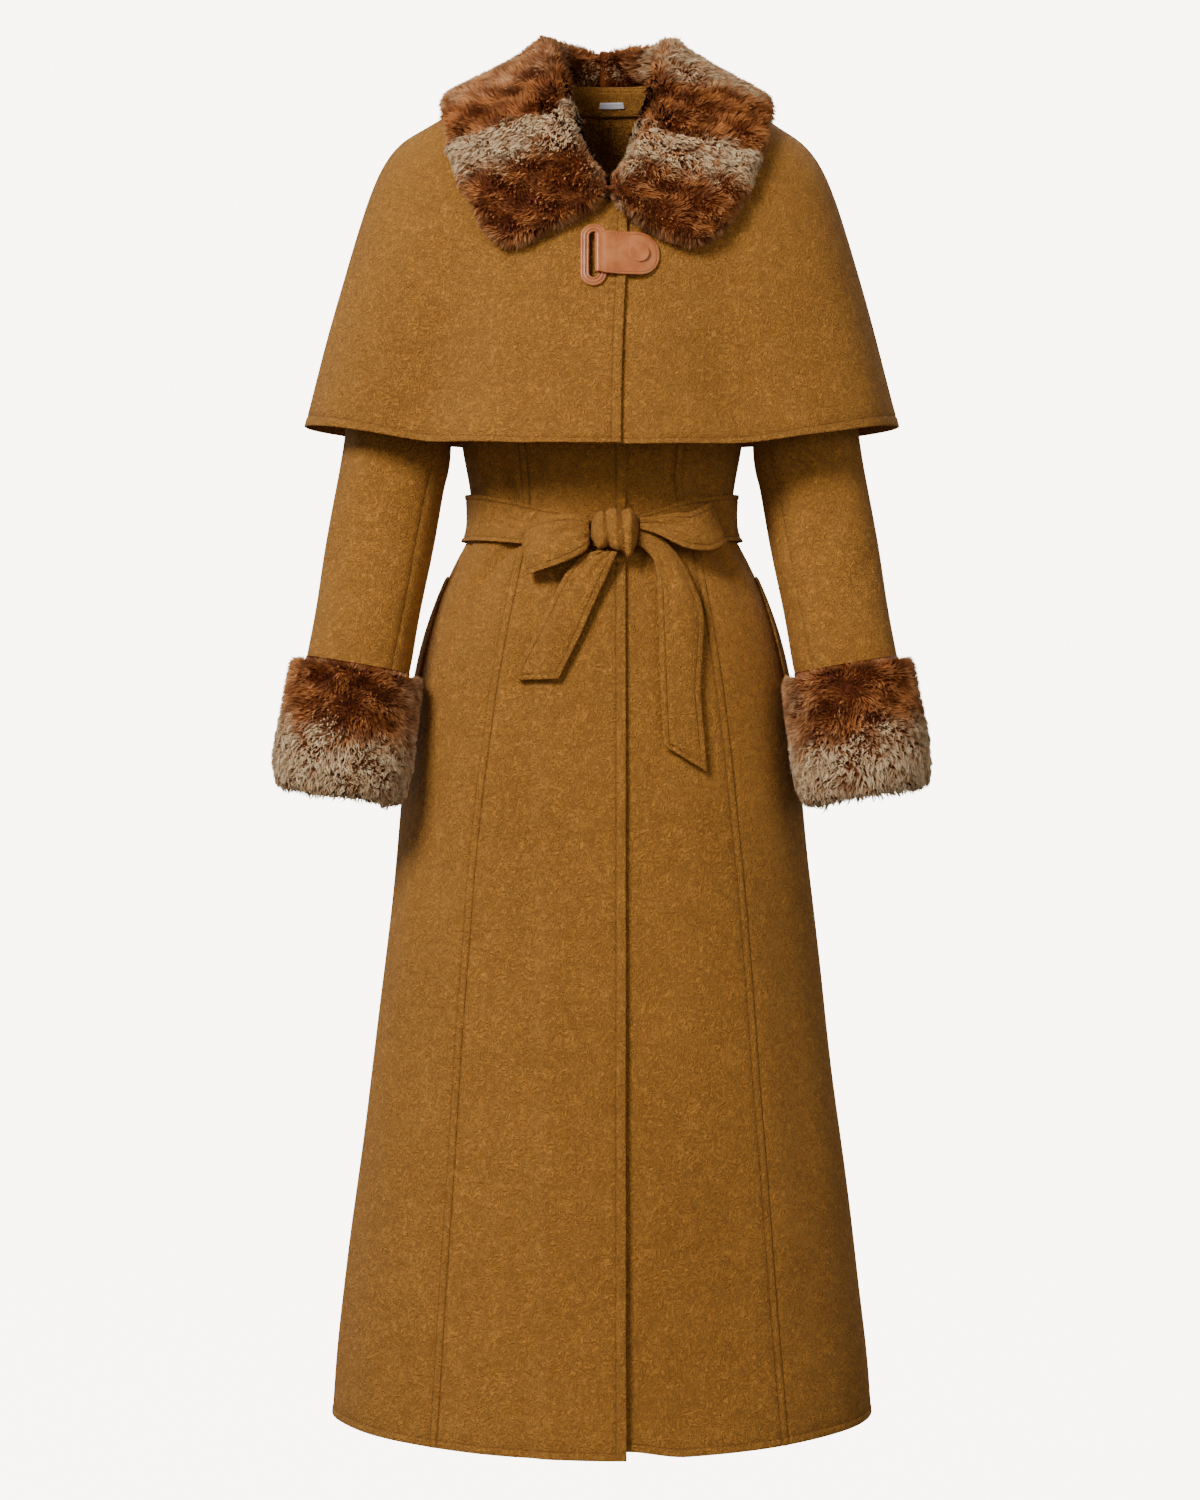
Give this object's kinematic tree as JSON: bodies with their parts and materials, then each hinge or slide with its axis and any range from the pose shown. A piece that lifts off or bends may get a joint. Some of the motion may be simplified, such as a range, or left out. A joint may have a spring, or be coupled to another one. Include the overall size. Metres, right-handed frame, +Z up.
{
  "type": "cape coat",
  "caption": "Full-length belted wool coat with a shoulder cape, a turned-down fur collar, fur cuffs and a leather strap clasp, filled out as worn.",
  "frame": {"origin": "centre of the neck opening, level with the collar seam at the back of the neck, where the wearer's shoulders carry the coat", "axes": "+Z up, +X to the wearer's left, the front faces -Y"},
  "size_m": [0.5868, 0.3808, 1.276],
  "materials": {
    "wool": "brushed double-faced wool",
    "fur": "plush fur in two tones",
    "leather": "smooth, semi-gloss",
    "label": "woven"
  },
  "bodies": {
    "root": {"front_right": "wool", "side_front_right": "wool", "back_right": "wool", "front_left": "wool", "side_front_left": "wool", "back_left": "wool", "top_sleeve_right": "wool", "under_sleeve_right": "wool", "top_sleeve_left": "wool", "under_sleeve_left": "wool", "cape_front_right": "wool", "cape_front_left": "wool", "cape_back": "wool", "back_neck_facing": "wool", "pocket_welt_right": "wool", "pocket_welt_left": "wool", "belt_band": "wool", "belt_knot": "wool", "belt_loop_right": "wool", "belt_tail_right": "wool", "belt_loop_left": "wool", "belt_tail_left": "wool", "fur_cuff_right": "fur", "fur_cuff_left": "fur", "fur_collar_right": "fur", "fur_collar_left": "fur", "clasp_ring": "leather", "clasp_strap": "leather", "clasp_snap": "leather", "blank_label": "label"}
  },
  "joints": []
}
